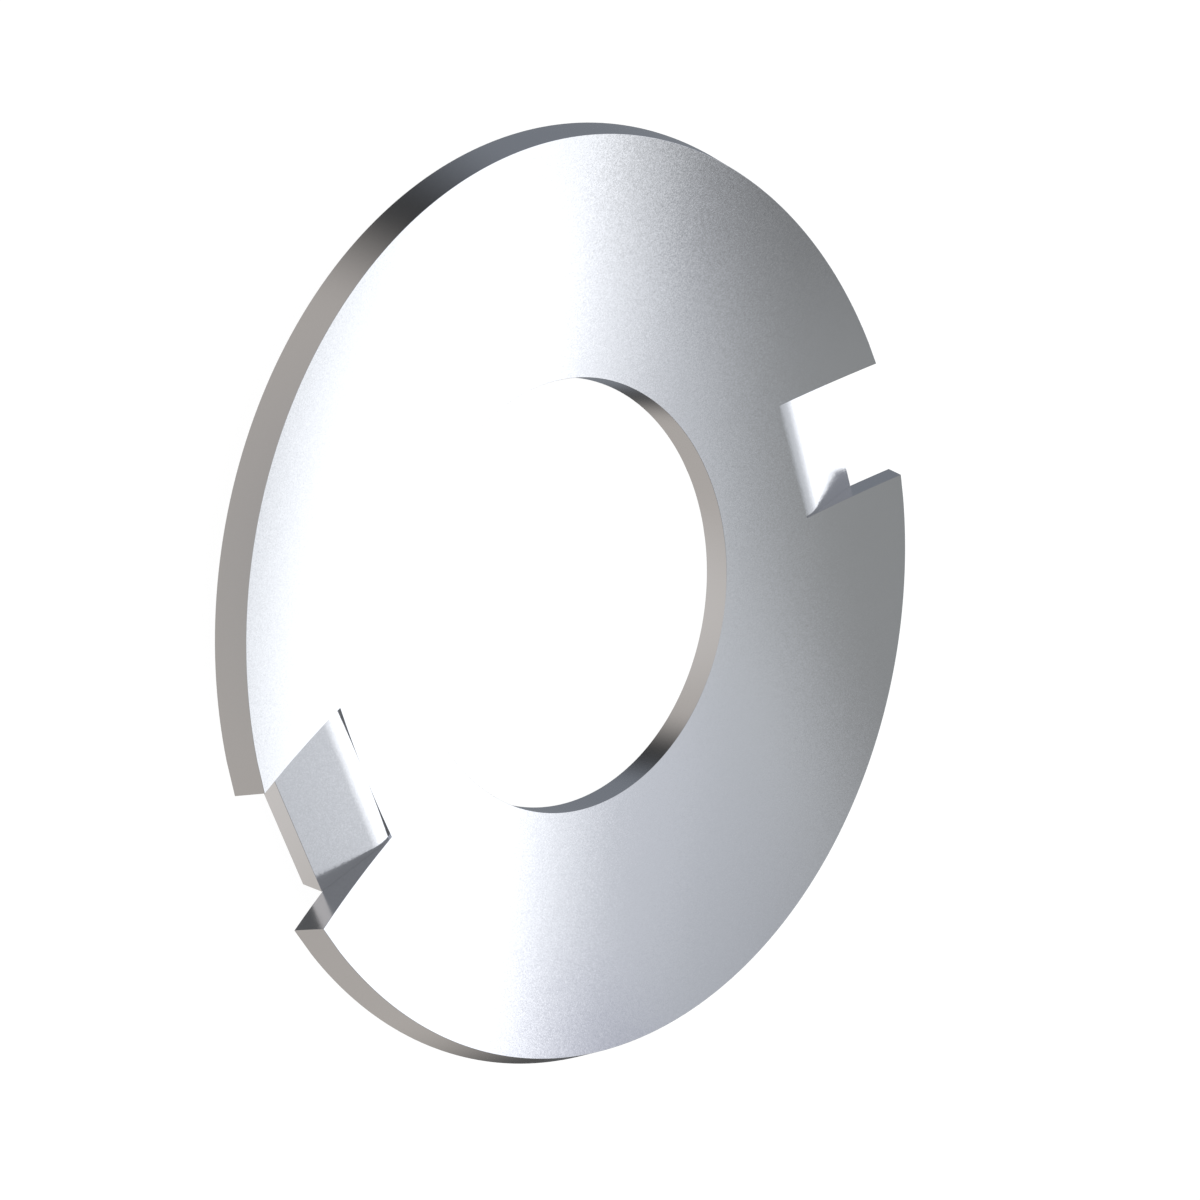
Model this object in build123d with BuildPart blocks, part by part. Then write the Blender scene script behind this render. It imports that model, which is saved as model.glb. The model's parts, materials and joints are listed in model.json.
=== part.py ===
from build123d import *
import os
from math import asin, cos, degrees, radians, sin, sqrt

# Spherical thrust washer with two locking tabs, as it sits behind a bevel pinion.
# One piece of hardened sheet steel: a dished ring with a plain bore and two rim
# slots, and in each slot a tab that is sheared free along its sides, still joined
# to the ring at its root, and bent back towards the convex side.
# It lies concave side up on the rim of its bore. Z is the axis of the bore, z = 0
# is the surface that it rests on, and the tabs point along X.
# Millimetres and degrees.

# Ring
outer_diameter = 64.0
bore_diameter = 30.8
sheet_thickness = 2.0
concave_radius = 70.5

# Slots in the rim, and the locking tabs in them
tab_count = 2
slot_width = 9.6
slot_root_distance = 22.45
tab_tip_distance = 28.3
tab_inner_bend_radius = 2.8
shear_gap = 0.004

# Tumbled edges
edge_rounding = 0.02

outer_radius = outer_diameter / 2
bore_radius = bore_diameter / 2
tab_outer_bend_radius = tab_inner_bend_radius + sheet_thickness

# Both faces are spheres about one centre on the axis. It stands at the height where
# the rounded edge of the bore touches z = 0.
convex_radius = concave_radius + sheet_thickness
rounding_reach = convex_radius - edge_rounding
centre_height = edge_rounding + sqrt(
    rounding_reach**2 - (bore_radius + edge_rounding) ** 2
)


def on_sphere(sphere_radius, distance):
    """Point of a sphere's lower side at a distance from the axis, as distance and height."""
    return (distance, centre_height - sqrt(sphere_radius**2 - distance**2))


def at_spoke(angle, radius):
    """Point at a radius from the spheres' centre, on a spoke that leans out by angle."""
    return (radius * sin(radians(angle)), centre_height - radius * cos(radians(angle)))


# The rim and the slots' roots are square to the sheet, so each lies on a spoke. The
# rim's is the one whose rounded edge reaches the outer diameter.
rim_angle = degrees(
    asin((outer_radius - edge_rounding) / rounding_reach)
    + asin(edge_rounding / rounding_reach)
)
root_angle = degrees(asin(slot_root_distance / concave_radius))

# Centre of the tab's bend, under its root, and the levels of its flat end
bend_centre = at_spoke(root_angle, concave_radius + tab_outer_bend_radius)
tab_top = bend_centre[1] + tab_outer_bend_radius
tab_bottom = bend_centre[1] + tab_inner_bend_radius

# Upright planes through the axis, one for each slot and its tab
slot_planes = [
    Plane.XZ.rotated((0, 0, number * 360 / tab_count)) for number in range(tab_count)
]

with BuildPart() as thrust_washer:
    with BuildSketch(Plane.YZ) as ring_section:
        with BuildLine():
            bore_front = on_sphere(concave_radius, bore_radius)
            bore_back = on_sphere(convex_radius, bore_radius)
            rim_front = at_spoke(rim_angle, concave_radius)
            rim_back = at_spoke(rim_angle, convex_radius)
            middle_angle = (rim_angle + degrees(asin(bore_radius / concave_radius))) / 2
            ThreePointArc(bore_front, at_spoke(middle_angle, concave_radius), rim_front)
            Line(rim_front, rim_back)
            ThreePointArc(rim_back, at_spoke(middle_angle, convex_radius), bore_back)
            Line(bore_back, bore_front)
        make_face()
        bore_corners = ring_section.vertices().sort_by(Axis.Y)[:2]
        fillet(bore_corners, edge_rounding)
    revolve(axis=Axis.Z)

    # Each slot takes all that lies outside its root's spoke
    with BuildSketch(*slot_planes):
        with BuildLine():
            Polyline(
                at_spoke(root_angle, 0),
                at_spoke(root_angle, convex_radius + sheet_thickness),
                (outer_diameter, tab_bottom - sheet_thickness),
                (outer_diameter, centre_height),
                close=True,
            )
        make_face()
    extrude(amount=slot_width / 2, both=True, mode=Mode.SUBTRACT)

    # All edges of the rim and of the slots' sides are rounded. Those of the roots are
    # left as they are, for the tabs grow out of them.
    walls = thrust_washer.faces().filter_by(GeomType.PLANE).sort_by_distance((0, 0, 0))
    root_edges = walls[:tab_count].edges()
    side_edges = walls[tab_count:].edges().filter_by(lambda edge: edge not in root_edges)
    rim_faces = thrust_washer.faces().filter_by(GeomType.CONE)
    rim_arcs = rim_faces.edges().filter_by(GeomType.CIRCLE)
    fillet(rim_arcs + side_edges, edge_rounding)

    # Each tab leaves its root in line with the sheet and bends back until it is level
    with BuildSketch(*slot_planes) as tab_profile:
        with BuildLine():
            outer_bend = CenterArc(bend_centre, tab_outer_bend_radius, 90, root_angle)
            inner_bend = CenterArc(bend_centre, tab_inner_bend_radius, 90, root_angle)
            Line(outer_bend @ 1, inner_bend @ 1)
            Polyline(
                outer_bend @ 0,
                (tab_tip_distance, tab_top),
                (tab_tip_distance, tab_bottom),
                inner_bend @ 0,
            )
        make_face()
        tip_corners = tab_profile.vertices().sort_by(Axis.X)[-2:]
        fillet(tip_corners, edge_rounding)
    extrude(amount=slot_width / 2 - shear_gap, both=True)

thrust_washer.part.label = "thrust_washer"

os.makedirs("parts", exist_ok=True)
export_step(thrust_washer.part, "parts/thrust_washer.step")
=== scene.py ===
"""Spherical thrust washer with two locking tabs, lying concave side up in a small studio.

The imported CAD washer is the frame. One finer piece stands for it, with the same sizes, true
spherical faces and a satin finish. Sizes in the classes are millimetres and degrees; Blender
gets metres.
"""

import json
import logging
from collections.abc import Callable
from dataclasses import dataclass, field
from enum import Enum
from math import asin, cos, degrees, hypot, radians, sin, sqrt, tan

import bmesh
import bpy
from mathutils import Euler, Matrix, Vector

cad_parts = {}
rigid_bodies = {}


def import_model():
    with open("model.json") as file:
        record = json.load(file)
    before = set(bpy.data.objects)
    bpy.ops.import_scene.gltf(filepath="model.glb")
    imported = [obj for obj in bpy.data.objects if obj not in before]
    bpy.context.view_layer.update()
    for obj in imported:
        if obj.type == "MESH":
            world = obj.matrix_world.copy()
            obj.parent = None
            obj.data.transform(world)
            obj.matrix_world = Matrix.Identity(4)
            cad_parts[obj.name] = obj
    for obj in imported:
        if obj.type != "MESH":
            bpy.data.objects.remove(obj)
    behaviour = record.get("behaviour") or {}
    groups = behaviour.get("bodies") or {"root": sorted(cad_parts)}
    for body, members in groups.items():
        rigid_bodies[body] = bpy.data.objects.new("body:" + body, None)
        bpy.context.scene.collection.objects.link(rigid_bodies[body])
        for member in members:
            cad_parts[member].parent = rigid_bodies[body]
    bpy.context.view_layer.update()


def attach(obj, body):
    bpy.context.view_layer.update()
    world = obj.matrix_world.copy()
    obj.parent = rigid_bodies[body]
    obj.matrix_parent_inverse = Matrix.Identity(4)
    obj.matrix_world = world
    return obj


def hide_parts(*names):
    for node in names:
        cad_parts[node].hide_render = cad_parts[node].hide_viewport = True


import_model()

MM = 0.001
HALF_TURN = 180.0
CAD_NODE = "thrust_washer"
CAD_BODY = "root"

# Metres: two points nearer than the first are one, and a point nearer than the second to a
# plane lies in it
SAME_PLACE = 0.000001
TOUCHING = 0.000003

# The Mix node's sockets for colours, by number, because others have the same names
MIX_FIRST = 6
MIX_SECOND = 7
MIX_RESULT = 2

# The curve of sRGB: straight up to the knee, and a power above it
BYTE_FULL = 255
CURVE_KNEE = 0.04045
CURVE_SLOPE = 12.92
CURVE_OFFSET = 0.055
CURVE_POWER = 2.4

log = logging.getLogger("washer")


class Element(Enum):
    """What an edit-mode selection picks."""

    VERTEX = "VERT"
    EDGE = "EDGE"
    FACE = "FACE"


class Surface(Enum):
    """The kinds of surface on the washer, which decide its normals and its finish."""

    CONCAVE = "concave"
    CONVEX = "convex"
    RIM = "rim"
    BORE = "bore"
    BEND_FRONT = "bend front"
    BEND_BACK = "bend back"
    FLAT = "flat"
    ROUNDING = "rounding"


# Modelling by hand


def deselect() -> None:
    """Leaves edit mode with nothing selected, because an operator acts on all that is."""
    if bpy.context.mode != "OBJECT":
        bpy.ops.object.mode_set(mode="OBJECT")
    bpy.ops.object.select_all(action="DESELECT")


def choose(piece: bpy.types.Object) -> None:
    """Makes a piece the only selected one, and the active one.

    Args:
        piece: the object to work on.
    """
    deselect()
    piece.select_set(True)
    bpy.context.view_layer.objects.active = piece


def pick(piece: bpy.types.Object, element: Element, test: Callable) -> int:
    """Selects only those elements of a piece in edit mode that pass a test.

    Args:
        piece: the object, already in edit mode, at the origin.
        element: what the test is asked about.
        test: gets a bmesh element and returns True to select it.

    Returns:
        How many elements are selected.
    """
    bpy.ops.mesh.select_mode(type=element.value)
    bpy.ops.mesh.select_all(action="DESELECT")
    mesh = bmesh.from_edit_mesh(piece.data)
    lists = {Element.VERTEX: mesh.verts, Element.EDGE: mesh.edges, Element.FACE: mesh.faces}
    found = [item for item in lists[element] if test(item)]
    for item in found:
        item.select_set(True)
    mesh.select_flush_mode()
    bmesh.update_edit_mesh(piece.data)
    return len(found)


def start_wire(name: str, point: Vector) -> bpy.types.Object:
    """Starts a drawn line: a tiny plane, merged to one vertex and left in edit mode.

    Args:
        name: the new object's name.
        point: where the line starts, in metres.

    Returns:
        The object, with its origin at the frame's origin.
    """
    deselect()
    bpy.ops.mesh.primitive_plane_add(size=MM, location=point)
    wire = bpy.context.object
    wire.name = name
    wire.data.name = name
    bpy.ops.object.transform_apply(location=True, rotation=True, scale=True)
    bpy.ops.object.mode_set(mode="EDIT")
    bpy.ops.mesh.select_mode(type=Element.VERTEX.value)
    bpy.ops.mesh.select_all(action="SELECT")
    bpy.ops.mesh.merge(type="CENTER")
    return wire


def swing(centre: Vector, axis: Vector, angle: float, steps: int) -> None:
    """Spins what is selected about an axis, and leaves its new end selected.

    Args:
        centre: a point on the axis, in metres.
        axis: the axis's direction.
        angle: how far, in degrees, by the right-hand rule. The operator turns the other way.
        steps: how many copies the way is divided into.
    """
    bpy.ops.mesh.spin(steps=steps, angle=-radians(angle), center=centre, axis=axis)


def draw_on(step: Vector) -> None:
    """Extrudes what is selected by a step, in metres, and leaves the new end selected."""
    bpy.ops.mesh.extrude_region_move(TRANSFORM_OT_translate={"value": step})


def merge_doubles() -> None:
    """Merges all vertices of the piece in edit mode that lie in the same place."""
    bpy.ops.mesh.select_all(action="SELECT")
    bpy.ops.mesh.remove_doubles(threshold=SAME_PLACE)


def combine(piece: bpy.types.Object, tool: bpy.types.Object, operation: str) -> None:
    """Cuts a tool out of a piece, or unites the two, and removes the tool.

    Args:
        piece: the object that is changed.
        tool: the closed solid that changes it.
        operation: "DIFFERENCE" or "UNION".
    """
    choose(piece)
    bpy.ops.object.modifier_add(type="BOOLEAN")
    modifier = piece.modifiers[-1]
    modifier.operation = operation
    modifier.solver = "EXACT"
    modifier.object = tool
    bpy.ops.object.modifier_apply(modifier=modifier.name)
    mesh = tool.data
    choose(tool)
    bpy.ops.object.delete()
    bpy.data.meshes.remove(mesh)


def turned_copy(piece: bpy.types.Object) -> bpy.types.Object:
    """Copies a piece, with its own mesh, half a turn about the washer's axis.

    Args:
        piece: the object to copy.

    Returns:
        The copy, with its place in its mesh.
    """
    choose(piece)
    bpy.ops.object.duplicate()
    copy = bpy.context.object
    turn = radians(HALF_TURN)
    bpy.ops.transform.rotate(value=turn, orient_axis="Z", center_override=(0, 0, 0))
    bpy.ops.object.transform_apply(location=True, rotation=True, scale=True)
    return copy


# Nodes and colours


def srgb(code: str, alpha: float = 1.0) -> tuple[float, float, float, float]:
    """Turns an sRGB hex colour into the linear one that the shaders take.

    Args:
        code: the colour, such as "#a0b0c0".
        alpha: its fourth number.

    Returns:
        Red, green, blue and alpha, linear.
    """
    parts = [int(code[i : i + 2], 16) / BYTE_FULL for i in (1, 3, 5)]
    full = 1 + CURVE_OFFSET
    linear = [
        p / CURVE_SLOPE if p <= CURVE_KNEE else ((p + CURVE_OFFSET) / full) ** CURVE_POWER
        for p in parts
    ]
    return (*linear, alpha)


def add_node(
    tree: bpy.types.NodeTree, kind: str, settings: dict | None = None, inputs: dict | None = None
) -> bpy.types.Node:
    """Adds a node with its settings and links.

    Args:
        tree: the node tree.
        kind: the node's type, without its "ShaderNode".
        settings: values for the node's own properties, by name.
        inputs: by name or number of a socket, the value it holds or the socket that feeds it.

    Returns:
        The new node.
    """
    node = tree.nodes.new("ShaderNode" + kind)
    for name, value in (settings or {}).items():
        setattr(node, name, value)
    for name, value in (inputs or {}).items():
        if isinstance(value, bpy.types.NodeSocket):
            tree.links.new(value, node.inputs[name])
        else:
            node.inputs[name].default_value = value
    return node


# The washer


@dataclass(frozen=True)
class WasherSizes:
    """The washer's sizes, the same as in the part's source."""

    outer_radius: float = 32.0
    bore_radius: float = 15.4
    thickness: float = 2.0
    concave_radius: float = 70.5
    slot_width: float = 9.6
    slot_root_distance: float = 22.45
    tab_tip_distance: float = 28.3
    tab_inner_bend_radius: float = 2.8
    shear_gap: float = 0.004
    edge_rounding: float = 0.02

    @property
    def convex_radius(self) -> float:
        """Radius of the sphere under the sheet."""
        return self.concave_radius + self.thickness

    @property
    def centre_height(self) -> float:
        """Height of the spheres' common centre when the bore's rounded edge is at zero."""
        reach = self.convex_radius - self.edge_rounding
        return self.edge_rounding + sqrt(reach**2 - (self.bore_radius + self.edge_rounding) ** 2)

    @property
    def rim_angle(self) -> float:
        """Lean of the rim's spoke, whose rounded edge reaches the outer radius."""
        reach = self.convex_radius - self.edge_rounding
        inner = asin((self.outer_radius - self.edge_rounding) / reach)
        return degrees(inner + asin(self.edge_rounding / reach))

    @property
    def root_angle(self) -> float:
        """Lean of the spoke at which a tab leaves the sheet."""
        return degrees(asin(self.slot_root_distance / self.concave_radius))

    @property
    def tab_outer_bend_radius(self) -> float:
        """Radius of the bend on the concave side."""
        return self.tab_inner_bend_radius + self.thickness

    @property
    def centre(self) -> Vector:
        """The spheres' common centre, in metres."""
        return self.at(0, self.centre_height)

    @property
    def bend_centre(self) -> Vector:
        """Centre of the bend of the tab on +X, in metres."""
        reach = self.concave_radius + self.tab_outer_bend_radius
        return self.at(*self.on_spoke(self.root_angle, reach))

    def at(self, distance: float, height: float, azimuth: float = 0.0) -> Vector:
        """Turns a place on the washer into a point in the frame.

        Args:
            distance: from the axis.
            height: above the floor.
            azimuth: angle about the axis from +X.

        Returns:
            The point, in metres.
        """
        turn = radians(azimuth)
        return Vector((distance * cos(turn), distance * sin(turn), height)) * MM

    def on_spoke(self, angle: float, radius: float) -> tuple[float, float]:
        """Finds a point on a spoke that leans out from straight down.

        Args:
            angle: the spoke's lean.
            radius: the point's distance from the spheres' centre.

        Returns:
            The point's distance from the axis and its height.
        """
        return radius * sin(radians(angle)), self.centre_height - radius * cos(radians(angle))

    def root_offset(self, point: Vector) -> float:
        """Measures how far a point lies outside the plane of the nearer slot's root.

        Args:
            point: the point, in metres.

        Returns:
            The distance in metres, negative on the side of the ring.
        """
        lean = radians(self.root_angle)
        return abs(point.x) * cos(lean) - (self.centre_height * MM - point.z) * sin(lean)


@dataclass(frozen=True)
class LockingTab:
    """A tab that stays joined at the slot's root and is bent back until it is level."""

    sizes: WasherSizes
    bend_steps: int = 20
    rounding_segments: int = 3
    # How far the root end reaches into the ring, and its size there as a share
    insert_depth: float = 0.05
    insert_share: float = 0.8
    # Least cosine between two directions that count as one
    same_facing: float = 0.999

    @property
    def half_width(self) -> float:
        """Half the tab's width, which the shear gap makes less than the slot's."""
        return self.sizes.slot_width / 2 - self.sizes.shear_gap

    def model(self) -> bpy.types.Object:
        """Models the tab on +X.

        Returns:
            A closed solid whose root end reaches a little into the ring.
        """
        s = self.sizes
        across = Vector((0, 1, 0))
        near = -across * self.half_width * MM
        root_front = s.at(*s.on_spoke(s.root_angle, s.concave_radius))
        tab = start_wire("locking_tab", root_front + near)
        centre = s.bend_centre
        swing(centre, across, s.root_angle, self.bend_steps)
        flat = Vector((s.tab_tip_distance * MM - centre.x, 0, 0))
        draw_on(flat)
        draw_on(Vector((0, 0, -s.thickness * MM)))
        draw_on(-flat)
        swing(centre, across, -s.root_angle, self.bend_steps)
        bpy.ops.mesh.select_all(action="SELECT")
        bpy.ops.mesh.edge_face_add()
        draw_on(-2 * near)
        merge_doubles()
        bpy.ops.mesh.normals_make_consistent(inside=False)
        self._round_tip(tab)
        self._push_root_in(tab)
        deselect()
        return tab

    def _round_tip(self, tab: bpy.types.Object) -> None:
        """Rounds the two long edges of the tab's end.

        Args:
            tab: the tab, in edit mode.
        """
        tip = self.sizes.tab_tip_distance * MM

        def long_tip_edge(edge: bmesh.types.BMEdge) -> bool:
            """Tells whether an edge lies at the tab's end and runs across it."""
            near, far = (vertex.co for vertex in edge.verts)
            at_tip = all(abs(end.x - tip) < SAME_PLACE for end in (near, far))
            return at_tip and abs(near.y - far.y) > self.half_width * MM

        pick(tab, Element.EDGE, long_tip_edge)
        bpy.ops.mesh.bevel(
            offset=self.sizes.edge_rounding * MM, segments=self.rounding_segments, affect="EDGES"
        )

    def _push_root_in(self, tab: bpy.types.Object) -> None:
        """Lengthens the root end into the ring, smaller there, so that the two unite cleanly.

        Args:
            tab: the tab, in edit mode.
        """
        lean = radians(self.sizes.root_angle)
        inward = Vector((-cos(lean), 0, -sin(lean)))

        def root_end(face: bmesh.types.BMFace) -> bool:
            """Tells whether a face is the one that meets the ring."""
            off_root = abs(self.sizes.root_offset(face.calc_center_median()))
            return face.normal.dot(inward) > self.same_facing and off_root < TOUCHING

        pick(tab, Element.FACE, root_end)
        draw_on(inward * self.insert_depth * MM)
        mesh = bmesh.from_edit_mesh(tab.data)
        end = next(f for f in mesh.faces if f.select).calc_center_median()
        bpy.ops.transform.resize(value=(self.insert_share,) * 3, center_override=end)


@dataclass(frozen=True)
class DishedRing:
    """The dished ring with its bore and its two slots."""

    sizes: WasherSizes
    # Steps along the section's faces, and about the axis over a slot and from slot to slot
    arc_steps: int = 14
    slot_steps: int = 13
    side_steps: int = 128
    # Angles from a slot's middle between which its wall runs, left free of lines
    slot_half_angle: float = 8.3
    clear_half_angle: float = 12.45
    rounding_segments: int = 3
    # An edge that bends by more is rounded
    sharp_angle: float = 25.0
    # Levels and reach of the wedge that cuts a slot, well outside the ring
    cutter_floor: float = -3.0
    cutter_roof: float = 12.0
    cutter_reach: float = 40.0

    def model(self) -> bpy.types.Object:
        """Models the ring, cuts its slots and rounds its edges.

        Returns:
            A closed solid with no tabs yet.
        """
        ring = self._spin_section(self._draw_section())
        cutter = self._shape_cutter()
        other = turned_copy(cutter)
        combine(ring, cutter, "DIFFERENCE")
        combine(ring, other, "DIFFERENCE")
        self._round_edges(ring)
        return ring

    def _draw_section(self) -> bpy.types.Object:
        """Draws the section as a closed wire, from the bore along the concave face and back.

        Returns:
            The wire, in edit mode.
        """
        s = self.sizes
        azimuth = -self.slot_half_angle
        turn = radians(azimuth)
        bore_front_angle = degrees(asin(s.bore_radius / s.concave_radius))
        bore_back_angle = degrees(asin(s.bore_radius / s.convex_radius))
        bore_front = s.at(*s.on_spoke(bore_front_angle, s.concave_radius), azimuth)
        bore_back = s.at(*s.on_spoke(bore_back_angle, s.convex_radius), azimuth)
        outward = Vector((sin(turn), -cos(turn), 0))
        rim_spoke = s.at(*s.on_spoke(s.rim_angle, s.thickness), azimuth) - s.centre
        wire = start_wire("washer_body", bore_front)
        swing(s.centre, outward, s.rim_angle - bore_front_angle, self.arc_steps)
        draw_on(rim_spoke)
        swing(s.centre, outward, bore_back_angle - s.rim_angle, self.arc_steps)
        draw_on(bore_front - bore_back)
        merge_doubles()
        return wire

    def _spin_section(self, wire: bpy.types.Object) -> bpy.types.Object:
        """Spins the section once round, in steps that leave the slots' walls free of lines.

        Args:
            wire: the section, in edit mode.

        Returns:
            The same object, now the closed ring.
        """
        slot = (2 * self.slot_half_angle, self.slot_steps)
        beside = (self.clear_half_angle - self.slot_half_angle, 1)
        side = (HALF_TURN - 2 * self.clear_half_angle, self.side_steps)
        half = (slot, beside, side, beside)
        upright = Vector((0, 0, 1))
        bpy.ops.mesh.select_all(action="SELECT")
        for angle, steps in half + half:
            swing(Vector(), upright, angle, steps)
        merge_doubles()
        bpy.ops.mesh.normals_make_consistent(inside=False)
        deselect()
        return wire

    def _shape_cutter(self) -> bpy.types.Object:
        """Shapes the wedge that cuts the slot on +X, with its inner face on the root's spoke.

        Returns:
            The closed wedge.
        """
        s = self.sizes
        lean = tan(radians(s.root_angle))
        near = {z: (s.centre_height - z) * lean for z in (self.cutter_floor, self.cutter_roof)}
        start = near[self.cutter_roof]
        size = (self.cutter_reach - start, s.slot_width, self.cutter_roof - self.cutter_floor)
        middle = s.at((self.cutter_reach + start) / 2, (self.cutter_roof + self.cutter_floor) / 2)
        deselect()
        bpy.ops.mesh.primitive_cube_add(size=1, location=middle, scale=[x * MM for x in size])
        cutter = bpy.context.object
        bpy.ops.object.transform_apply(location=True, rotation=True, scale=True)
        bpy.ops.object.mode_set(mode="EDIT")
        pick(cutter, Element.VERTEX, lambda v: v.co.x < middle.x and v.co.z < middle.z)
        shift = (near[self.cutter_floor] - start) * MM
        bpy.ops.transform.translate(value=(shift, 0, 0))
        deselect()
        return cutter

    def _round_edges(self, ring: bpy.types.Object) -> None:
        """Rounds every sharp edge but those of the roots, where the tabs go on.

        Args:
            ring: the ring with its slots.
        """
        choose(ring)
        bpy.ops.object.mode_set(mode="EDIT")

        def sharp(edge: bmesh.types.BMEdge) -> bool:
            """Tells whether an edge is sharp and has an end away from a root."""
            at_root = all(abs(self.sizes.root_offset(v.co)) < TOUCHING for v in edge.verts)
            return not at_root and edge.calc_face_angle(0) > radians(self.sharp_angle)

        count = pick(ring, Element.EDGE, sharp)
        bpy.ops.mesh.bevel(
            offset=self.sizes.edge_rounding * MM, segments=self.rounding_segments, affect="EDGES",
            clamp_overlap=False,
        )
        deselect()
        log.info("washer_body: %d sharp edges rounded", count)


# Finishes


@dataclass(frozen=True)
class SatinSteel:
    """Hardened sheet steel, finely ground and tumbled to a satin polish.

    To the eye it is a slightly cool, near-neutral metal that mirrors its surroundings with
    softened outlines, under an even grain like fine sand.
    """

    name: str = "hardened_sheet_steel_satin_polished"
    tint: str = "#dddfe4"
    tint_darker: str = "#d9dbe0"
    roughness: float = 0.16
    roughness_spread: float = 0.01
    # The grain: its size, and the spread of what it adds to each part of the unit normal
    grain_mm: float = 0.055
    grain_lean: float = 0.043
    # Faint clouds in tint and roughness: their size, their noise, and the values of that noise
    # between which the roughness runs
    cloud_mm: float = 9.0
    cloud_detail: float = 3.0
    cloud_softness: float = 0.5
    cloud_low: float = 0.3
    cloud_high: float = 0.7

    def make(self) -> bpy.types.Material:
        """Makes the material.

        Returns:
            The node material.
        """
        material = bpy.data.materials.new(self.name)
        material.use_nodes = True
        tree = material.node_tree
        tree.nodes.clear()
        place = add_node(tree, "TexCoord").outputs["Object"]
        cloud = add_node(tree, "TexNoise", inputs={
            "Vector": place, "Scale": 1 / (self.cloud_mm * MM),
            "Detail": self.cloud_detail, "Roughness": self.cloud_softness,
        }).outputs["Fac"]
        colour = add_node(tree, "Mix", {"data_type": "RGBA"}, {
            "Factor": cloud,
            MIX_FIRST: srgb(self.tint_darker), MIX_SECOND: srgb(self.tint),
        }).outputs[MIX_RESULT]
        low = self.roughness - self.roughness_spread
        high = self.roughness + self.roughness_spread
        rough = add_node(tree, "MapRange", inputs={
            "Value": cloud, "From Min": self.cloud_low, "From Max": self.cloud_high,
            "To Min": low, "To Max": high,
        }).outputs["Result"]
        shader = add_node(tree, "BsdfPrincipled", inputs={
            "Base Color": colour, "Metallic": 1.0, "Roughness": rough,
            "Normal": self._grain(tree, place),
        })
        add_node(tree, "OutputMaterial", inputs={"Surface": shader.outputs["BSDF"]})
        return material

    def _grain(self, tree: bpy.types.NodeTree, place: bpy.types.NodeSocket) -> bpy.types.NodeSocket:
        """Leans the surface a little, each grain its own way.

        The real grain is too fine to show, so it is drawn as coarse as it needs to show.

        Args:
            tree: the material's node tree.
            place: the point on the object.

        Returns:
            A socket with the leaning normal.
        """
        grain = add_node(tree, "TexVoronoi", inputs={
            "Vector": place, "Scale": 1 / (self.grain_mm * MM),
        }).outputs["Color"]
        lean = add_node(tree, "VectorMath", {"operation": "MULTIPLY_ADD"}, {
            0: grain, 1: (self.grain_lean,) * 3, 2: (-self.grain_lean / 2,) * 3,
        }).outputs["Vector"]
        normal = add_node(tree, "NewGeometry").outputs["Normal"]
        leaning = add_node(tree, "VectorMath", {"operation": "ADD"}, {0: normal, 1: lean})
        return add_node(tree, "VectorMath", {"operation": "NORMALIZE"}, {
            0: leaning.outputs["Vector"],
        }).outputs["Vector"]


@dataclass(frozen=True)
class ShearedSteel(SatinSteel):
    """The same steel where it was blanked and sheared: rim, bore, slots and tab sides.

    To the eye it is the same metal with a slightly softer mirror.
    """

    name: str = "hardened_sheet_steel_sheared_edge"
    roughness: float = 0.18
    grain_lean: float = 0.002


@dataclass(frozen=True)
class LightTable:
    """Opal acrylic of a light table, matt: an even white with only a breath of shadow."""

    name: str = "opal_acrylic_light_table"
    colour: str = "#ffffff"
    # The share of light that it scatters, and the strength of its own
    diffuse_share: float = 0.16
    glow: float = 0.92

    def make(self) -> bpy.types.Material:
        """Makes the material.

        Returns:
            The node material.
        """
        material = bpy.data.materials.new(self.name)
        material.use_nodes = True
        tree = material.node_tree
        tree.nodes.clear()
        colour = [c * self.diffuse_share for c in srgb(self.colour)[:3]]
        diffuse = add_node(tree, "BsdfDiffuse", inputs={"Color": (*colour, 1.0)})
        emission = add_node(tree, "Emission", inputs={
            "Color": srgb(self.colour), "Strength": self.glow,
        })
        both = add_node(tree, "AddShader", inputs={
            0: diffuse.outputs["BSDF"], 1: emission.outputs["Emission"],
        })
        add_node(tree, "OutputMaterial", inputs={"Surface": both.outputs["Shader"]})
        return material


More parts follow.
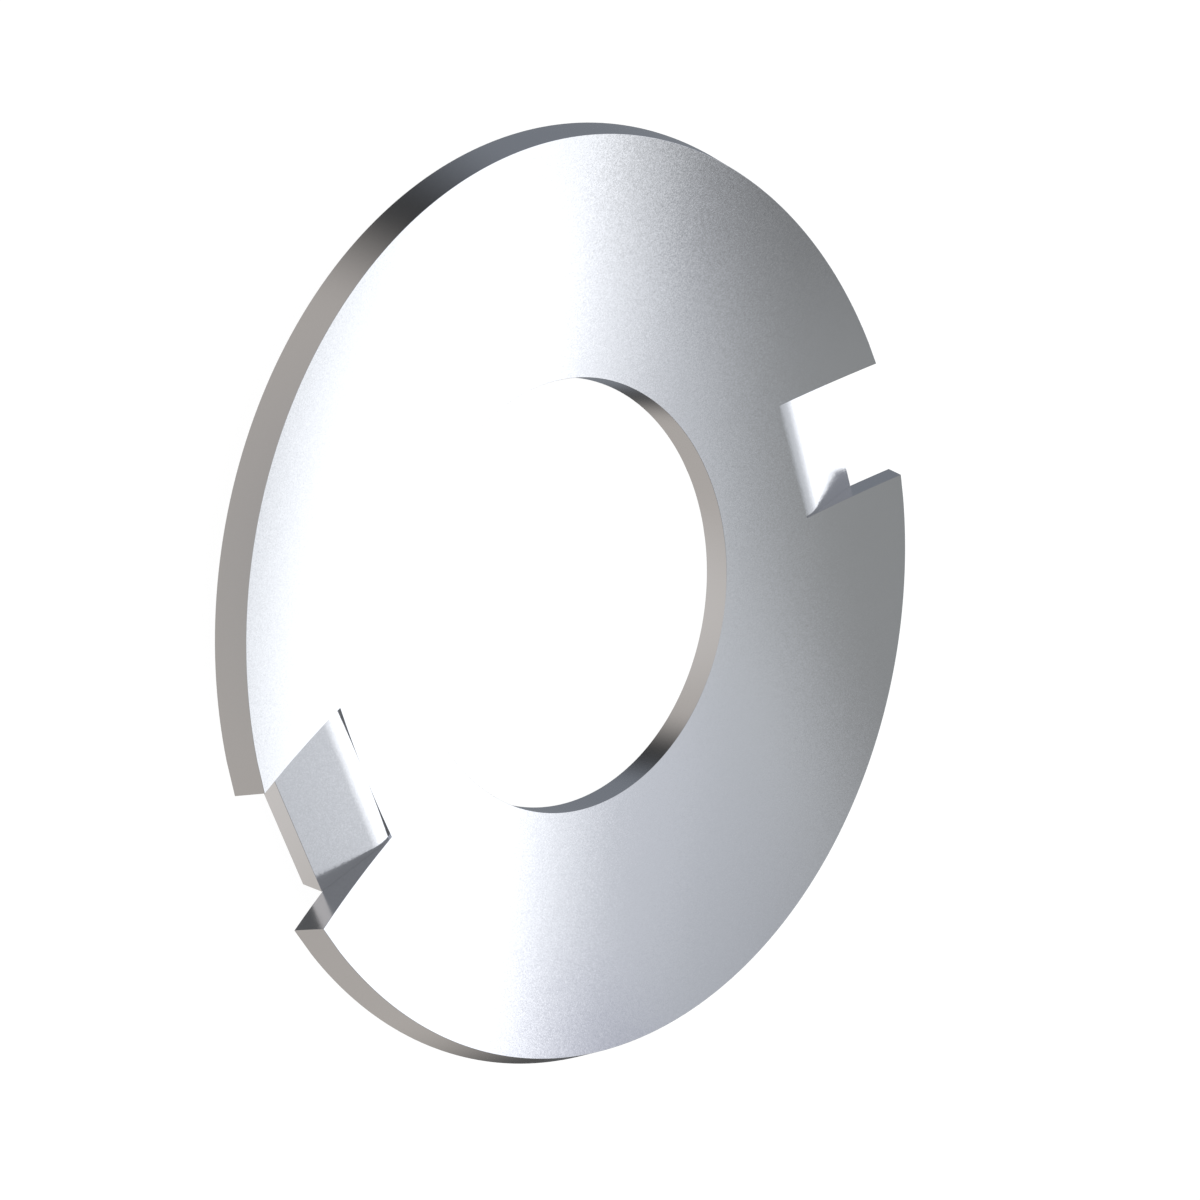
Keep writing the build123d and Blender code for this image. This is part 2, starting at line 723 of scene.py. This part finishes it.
@dataclass
class ThrustWasher:
    """The whole washer: ring and tabs in one piece, with true normals and its finishes."""

    sizes: WasherSizes = field(default_factory=WasherSizes)
    polished: SatinSteel = field(default_factory=SatinSteel)
    sheared: ShearedSteel = field(default_factory=ShearedSteel)
    # Square millimetres and millimetres: a face that is smaller or narrower than this belongs
    # to a rounding, unless it is flat
    least_flat_area: float = 0.01
    rounding_width: float = 0.015
    # How far a facet's corners may lie off the true sphere or bend, and off the bore
    facet_sag: float = 0.012
    bore_sag: float = 0.02
    # Least cosine between a sphere's facet and its spoke
    face_to_spoke: float = 0.98
    # Vertical part of a face's unit normal: at most this on the bore's wall, and at least this
    # on the rim and on a level face
    bore_rise: float = 0.1
    rim_rise: float = 0.3
    level_rise: float = 0.99
    # Least part of a flat face's unit normal along one of the frame's axes
    straight_facing: float = 0.99999
    # Least cosine between a rounding's face and the normal that it takes from its neighbour
    blend_facing: float = 0.7
    # Faces with more sides than this are divided
    most_sides: int = 4

    def build(self) -> bpy.types.Object:
        """Returns:
            The finished piece.
        """
        body = DishedRing(self.sizes).model()
        tab = LockingTab(self.sizes).model()
        other = turned_copy(tab)
        combine(body, tab, "UNION")
        combine(body, other, "UNION")
        self._clean_seams(body)
        choose(body)
        bpy.ops.object.shade_smooth()
        body.data.materials.clear()
        body.data.materials.append(self.polished.make())
        body.data.materials.append(self.sheared.make())
        kinds = [self._kind(body.data, polygon) for polygon in body.data.polygons]
        self._set_finish(body.data, kinds)
        self._set_normals(body.data, kinds)
        deselect()
        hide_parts(CAD_NODE)
        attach(body, CAD_BODY)
        return body

    def _clean_seams(self, body: bpy.types.Object) -> None:
        """Merges the doubles that the unions left, and divides faces of many sides evenly.

        Args:
            body: the ring with its tabs.
        """
        choose(body)
        bpy.ops.object.mode_set(mode="EDIT")
        merge_doubles()
        pick(body, Element.FACE, lambda face: len(face.verts) > self.most_sides)
        bpy.ops.mesh.quads_convert_to_tris(quad_method="BEAUTY", ngon_method="BEAUTY")
        bpy.ops.mesh.select_all(action="SELECT")
        bpy.ops.mesh.dissolve_degenerate(threshold=SAME_PLACE)
        deselect()

    def _kind(self, mesh: bpy.types.Mesh, polygon: bpy.types.MeshPolygon) -> Surface:
        """Tells which surface of the washer a face belongs to, by its corners and its normal.

        Args:
            mesh: the washer's mesh.
            polygon: one of its faces.

        Returns:
            The kind of surface.
        """
        s = self.sizes
        points = [mesh.vertices[i].co for i in polygon.vertices]
        bend = s.bend_centre
        from_centre = [(p - s.centre).length / MM for p in points]
        from_axis = [hypot(p.x, p.y) / MM for p in points]
        from_bend = [hypot(abs(p.x) - bend.x, p.z - bend.z) / MM for p in points]

        def on(distances: list[float], radius: float, sag: float) -> bool:
            """Tells whether all corners lie at a radius, but for what a facet's chord sags."""
            return all(abs(distance - radius) < sag for distance in distances)

        along_spoke = polygon.normal.dot((points[0] - s.centre).normalized())
        if along_spoke < -self.face_to_spoke and on(from_centre, s.concave_radius, self.facet_sag):
            return Surface.CONCAVE
        if along_spoke > self.face_to_spoke and on(from_centre, s.convex_radius, self.facet_sag):
            return Surface.CONVEX
        if on(from_axis, s.bore_radius, self.bore_sag) and abs(polygon.normal.z) < self.bore_rise:
            return Surface.BORE
        straight = max(abs(part) for part in polygon.normal) > self.straight_facing
        if straight or all(abs(s.root_offset(p)) < TOUCHING for p in points):
            return Surface.FLAT
        longest = max((p - q).length for p, q in zip(points, points[1:] + points[:1]))
        narrow = polygon.area < longest * self.rounding_width * MM
        if narrow or polygon.area < self.least_flat_area * MM * MM:
            return Surface.ROUNDING
        if min(from_axis) > s.tab_tip_distance and abs(polygon.normal.z) > self.rim_rise:
            return Surface.RIM
        if on(from_bend, s.tab_outer_bend_radius, self.facet_sag):
            return Surface.BEND_FRONT
        if on(from_bend, s.tab_inner_bend_radius, self.facet_sag):
            return Surface.BEND_BACK
        return Surface.FLAT

    def _true_normal(self, kind: Surface, point: Vector, fallback: Vector) -> Vector:
        """Works out the exact normal of a surface at a point.

        Args:
            kind: which surface.
            point: where, in metres.
            fallback: the face's own normal, for the flat ones.

        Returns:
            The outward unit normal.
        """
        s = self.sizes
        if kind is Surface.CONCAVE:
            return (s.centre - point).normalized()
        if kind is Surface.CONVEX:
            return (point - s.centre).normalized()
        around = Vector((point.x, point.y, 0)).normalized()
        if kind is Surface.BORE:
            return -around
        if kind is Surface.RIM:
            lean = radians(s.rim_angle)
            return around * cos(lean) + Vector((0, 0, sin(lean)))
        bend = s.bend_centre
        side = 1 if point.x > 0 else -1
        from_bend = Vector((point.x - side * bend.x, 0, point.z - bend.z)).normalized()
        if kind is Surface.BEND_FRONT:
            return from_bend
        if kind is Surface.BEND_BACK:
            return -from_bend
        return fallback

    def _set_finish(self, mesh: bpy.types.Mesh, kinds: list[Surface]) -> None:
        """Gives the polished finish to both faces and roundings, the sheared one to the rest.

        Args:
            mesh: the washer's mesh, with the polished finish in its first slot and the sheared
                one in its second.
            kinds: the kind of each face.
        """
        polished = {
            Surface.CONCAVE, Surface.CONVEX, Surface.BEND_FRONT, Surface.BEND_BACK,
            Surface.ROUNDING,
        }
        for polygon, kind in zip(mesh.polygons, kinds):
            level = kind is Surface.FLAT and abs(polygon.normal.z) > self.level_rise
            polygon.material_index = 0 if kind in polished or level else 1

    def _set_normals(self, mesh: bpy.types.Mesh, kinds: list[Surface]) -> None:
        """Gives each corner the normal of its true surface, and the roundings blend between.

        A rounding's corner takes the normal of a true surface beside it that faces nearly the
        same way. Where there is none it takes the mean of the roundings that meet there.

        Args:
            mesh: the washer's mesh.
            kinds: the kind of each face.
        """
        known: dict[int, list[Vector]] = {}
        loose: dict[int, Vector] = {}
        for polygon, kind in zip(mesh.polygons, kinds):
            for i in polygon.vertices:
                if kind is Surface.ROUNDING:
                    loose[i] = loose.get(i, Vector()) + polygon.normal
                else:
                    normal = self._true_normal(kind, mesh.vertices[i].co, polygon.normal)
                    known.setdefault(i, []).append(normal)
        normals = [Vector((0, 0, 1))] * len(mesh.loops)
        for polygon, kind in zip(mesh.polygons, kinds):
            for corner in polygon.loop_indices:
                i = mesh.loops[corner].vertex_index
                if kind is not Surface.ROUNDING:
                    normals[corner] = self._true_normal(kind, mesh.vertices[i].co, polygon.normal)
                    continue
                nearest = max(known.get(i, []), key=polygon.normal.dot, default=Vector())
                fits = polygon.normal.dot(nearest) > self.blend_facing
                normals[corner] = nearest if fits else loose[i].normalized()
        mesh.normals_split_custom_set(normals)


# The studio


def direction(azimuth: float, elevation: float) -> Vector:
    """Turns a place in the studio into a direction.

    Args:
        azimuth: angle about the upright axis from +X, in degrees.
        elevation: angle above the floor, in degrees.

    Returns:
        The unit vector towards it.
    """
    a, e = radians(azimuth), radians(elevation)
    return Vector((cos(a) * cos(e), sin(a) * cos(e), sin(e)))


@dataclass(frozen=True)
class Patch:
    """A round patch of light or shade with a soft edge.

    Attributes:
        azimuth: of its middle, about the upright axis from +X.
        elevation: of its middle, above the floor.
        inner: angle from its middle up to which it is full.
        outer: angle from its middle at which it is gone.
        colour: its sRGB colour.
        strength: what that colour is multiplied by, once it is linear.
    """

    azimuth: float
    elevation: float
    inner: float
    outer: float
    colour: str
    strength: float = 1.0


@dataclass
class Studio:
    """Light table, surroundings that the steel mirrors, and the camera."""

    table_half: float = 2000.0
    # The camera, as fitted to the washer's outline, bore and slots
    camera_place: tuple[float, float, float] = (-66.92, 46.25, 84.415)
    camera_turn: tuple[float, float, float] = (-8.46, -44.611, -22.695)
    camera_lens: float = 49.158
    sensor: float = 36.0
    backdrop: str = "#ffffff"
    # The ceiling: azimuth and elevation of its pale side, and the cosines of the angles from
    # there at which it starts to be pale and is quite pale
    ceiling_pale: str = "#cfd1d2"
    ceiling_grey: str = "#9b9c9a"
    pale_side: tuple[float, float] = (0.0, 22.0)
    pale_from: float = 0.47
    pale_full: float = 0.66
    # Soft shades over the ceiling
    shades: tuple[Patch, ...] = (
        Patch(-110.0, -0.5, 45.5, 68.0, "#636160"),
        Patch(88.0, 20.0, 37.0, 78.0, "#929292"),
        Patch(6.0, 26.5, 9.0, 24.0, "#b0b1bc"),
    )
    # The walls: azimuths and colours round about, the turn of their ring about X, Y and Z,
    # and the heights in a unit direction between which they give way to the ceiling
    walls: tuple[tuple[float, str], ...] = (
        (-114.0, "#c3bcb4"), (-72.0, "#505050"), (-31.0, "#83878d"),
        (48.0, "#83878d"), (70.5, "#3c3c3c"), (94.5, "#c3bcb4"),
    )
    wall_tilt: tuple[float, float, float] = (19.5, 5.7, 0.0)
    wall_top_from: float = -0.083
    wall_top_to: float = -0.007
    # Soft lights: the main one, opposite the camera, in three layers, its two bluish fringes,
    # one from below and one beside the camera
    lights: tuple[Patch, ...] = (
        Patch(-31.6, 22.1, 20.8, 21.2, "#ffffff", 0.404),
        Patch(-32.4, 29.5, 14.5, 26.6, "#ffffff", 0.534),
        Patch(-30.0, 43.5, 18.4, 23.4, "#f7f4ff", 0.094),
        Patch(-2.4, 53.2, 4.6, 21.7, "#1f71ff", 0.023),
        Patch(-63.9, 49.2, 4.9, 20.8, "#c6d5ff", 0.013),
        Patch(149.0, -78.3, 34.8, 42.5, "#ffffff", 0.22),
        Patch(134.5, 51.5, 4.5, 35.0, "#ffffff", 0.68),
    )

    def lay_table(self) -> bpy.types.Object:
        """Lays the light table under the washer, not mirrored by it.

        Returns:
            The floor, which isn't part of the object.
        """
        deselect()
        bpy.ops.mesh.primitive_plane_add(size=2 * self.table_half * MM, location=(0, 0, 0))
        table = bpy.context.object
        table.name = "light_table"
        table.data.materials.append(LightTable().make())
        table.visible_glossy = False
        deselect()
        return table

    def set_camera(self) -> bpy.types.Object:
        """Sets the camera at the photograph's angle to the washer.

        Returns:
            The camera.
        """
        deselect()
        turn = Euler([radians(a) for a in self.camera_turn])
        bpy.ops.object.camera_add(location=[x * MM for x in self.camera_place], rotation=turn)
        camera = bpy.context.object
        camera.name = "photo_camera"
        camera.data.lens = self.camera_lens
        camera.data.sensor_width = self.sensor
        camera.data.clip_start = MM
        camera.data.dof.use_dof = False
        bpy.context.scene.camera = camera
        deselect()
        return camera

    def light(self) -> None:
        """Makes the world: a plain bright one for the table, and what the steel mirrors."""
        world = bpy.data.worlds.new("studio")
        world.use_nodes = True
        tree = world.node_tree
        tree.nodes.clear()
        scene = bpy.context.scene
        scene.world = world
        scene.view_settings.view_transform = "Standard"
        world.cycles.sampling_method = "NONE"
        look = add_node(tree, "TexCoord").outputs["Generated"]
        colour = self._ceiling(tree, look)
        colour = self._walls(tree, look, colour)
        for light in self.lights:
            colour = self._laid_on(tree, look, colour, light, "ADD")
        mirrored = add_node(tree, "Background", inputs={"Color": colour})
        plain = add_node(tree, "Background", inputs={"Color": srgb(self.backdrop)})
        rays = add_node(tree, "LightPath")
        both = add_node(tree, "MixShader", inputs={
            "Fac": rays.outputs["Is Glossy Ray"],
            1: plain.outputs["Background"], 2: mirrored.outputs["Background"],
        })
        add_node(tree, "OutputWorld", inputs={"Surface": both.outputs["Shader"]})

    def _laid_on(
        self, tree: bpy.types.NodeTree, look: bpy.types.NodeSocket, under: bpy.types.NodeSocket,
        patch: Patch, blend: str,
    ) -> bpy.types.NodeSocket:
        """Lays a patch on the surroundings.

        Args:
            tree: the world's node tree.
            look: the direction, as a unit vector.
            under: the colour without the patch.
            patch: the patch.
            blend: "ADD" for a light, "MIX" for a shade.

        Returns:
            A socket with the new colour.
        """
        facing = add_node(tree, "VectorMath", {"operation": "DOT_PRODUCT"}, {
            0: look, 1: direction(patch.azimuth, patch.elevation),
        })
        share = add_node(tree, "MapRange", {"interpolation_type": "SMOOTHSTEP"}, {
            "Value": facing.outputs["Value"],
            "From Min": cos(radians(patch.outer)),
            "From Max": cos(radians(patch.inner)),
        }).outputs["Result"]
        light = [c * patch.strength for c in srgb(patch.colour)[:3]]
        return add_node(tree, "Mix", {"data_type": "RGBA", "blend_type": blend}, {
            "Factor": share, MIX_FIRST: under, MIX_SECOND: (*light, 1.0),
        }).outputs[MIX_RESULT]

    def _ceiling(
        self, tree: bpy.types.NodeTree, look: bpy.types.NodeSocket
    ) -> bpy.types.NodeSocket:
        """Colours the upper half: pale on one side, grey on the other, with its shades.

        Args:
            tree: the world's node tree.
            look: the direction, as a unit vector.

        Returns:
            A socket with the ceiling's colour.
        """
        side = add_node(tree, "VectorMath", {"operation": "DOT_PRODUCT"}, {
            0: look, 1: direction(*self.pale_side),
        })
        share = add_node(tree, "MapRange", {"interpolation_type": "SMOOTHSTEP"}, {
            "Value": side.outputs["Value"], "From Min": self.pale_from, "From Max": self.pale_full,
        }).outputs["Result"]
        colour = add_node(tree, "Mix", {"data_type": "RGBA"}, {
            "Factor": share,
            MIX_FIRST: srgb(self.ceiling_grey), MIX_SECOND: srgb(self.ceiling_pale),
        }).outputs[MIX_RESULT]
        for shade in self.shades:
            colour = self._laid_on(tree, look, colour, shade, "MIX")
        return colour

    def _walls(
        self, tree: bpy.types.NodeTree, look: bpy.types.NodeSocket, above: bpy.types.NodeSocket
    ) -> bpy.types.NodeSocket:
        """Colours the lower half: a warm and a cool screen, with dark gaps between them.

        Args:
            tree: the world's node tree.
            look: the direction, as a unit vector.
            above: the ceiling's colour.

        Returns:
            A socket with the colour of the surroundings but the lights.
        """
        leaning = add_node(tree, "VectorRotate", {"rotation_type": "EULER_XYZ"}, {
            "Vector": look, "Rotation": [radians(a) for a in self.wall_tilt],
        })
        around = add_node(tree, "TexGradient", {"gradient_type": "RADIAL"}, {
            "Vector": leaning.outputs["Vector"],
        })
        ring = add_node(tree, "ValToRGB", inputs={"Fac": around.outputs["Fac"]})
        ramp = ring.color_ramp
        ramp.interpolation = "EASE"
        while len(ramp.elements) < len(self.walls):
            ramp.elements.new(1.0)
        for stop, (azimuth, colour) in zip(ramp.elements, self.walls):
            stop.position = (azimuth + HALF_TURN) / (2 * HALF_TURN)
            stop.color = srgb(colour)
        height = add_node(tree, "SeparateXYZ", inputs={0: look}).outputs["Z"]
        share = add_node(tree, "MapRange", {"interpolation_type": "SMOOTHSTEP"}, {
            "Value": height, "From Min": self.wall_top_from, "From Max": self.wall_top_to,
        }).outputs["Result"]
        return add_node(tree, "Mix", {"data_type": "RGBA"}, {
            "Factor": share, MIX_FIRST: ring.outputs["Color"], MIX_SECOND: above,
        }).outputs[MIX_RESULT]


def main() -> None:
    """Builds the washer and then the studio, and reports each."""
    logging.basicConfig(level=logging.INFO, format="%(name)s: %(message)s")
    washer = ThrustWasher().build()
    log.info("%s: %d faces", washer.name, len(washer.data.polygons))
    studio = Studio()
    for part in (studio.lay_table(), studio.set_camera()):
        log.info("%s is in place", part.name)
    studio.light()


if __name__ == "__main__":
    main()
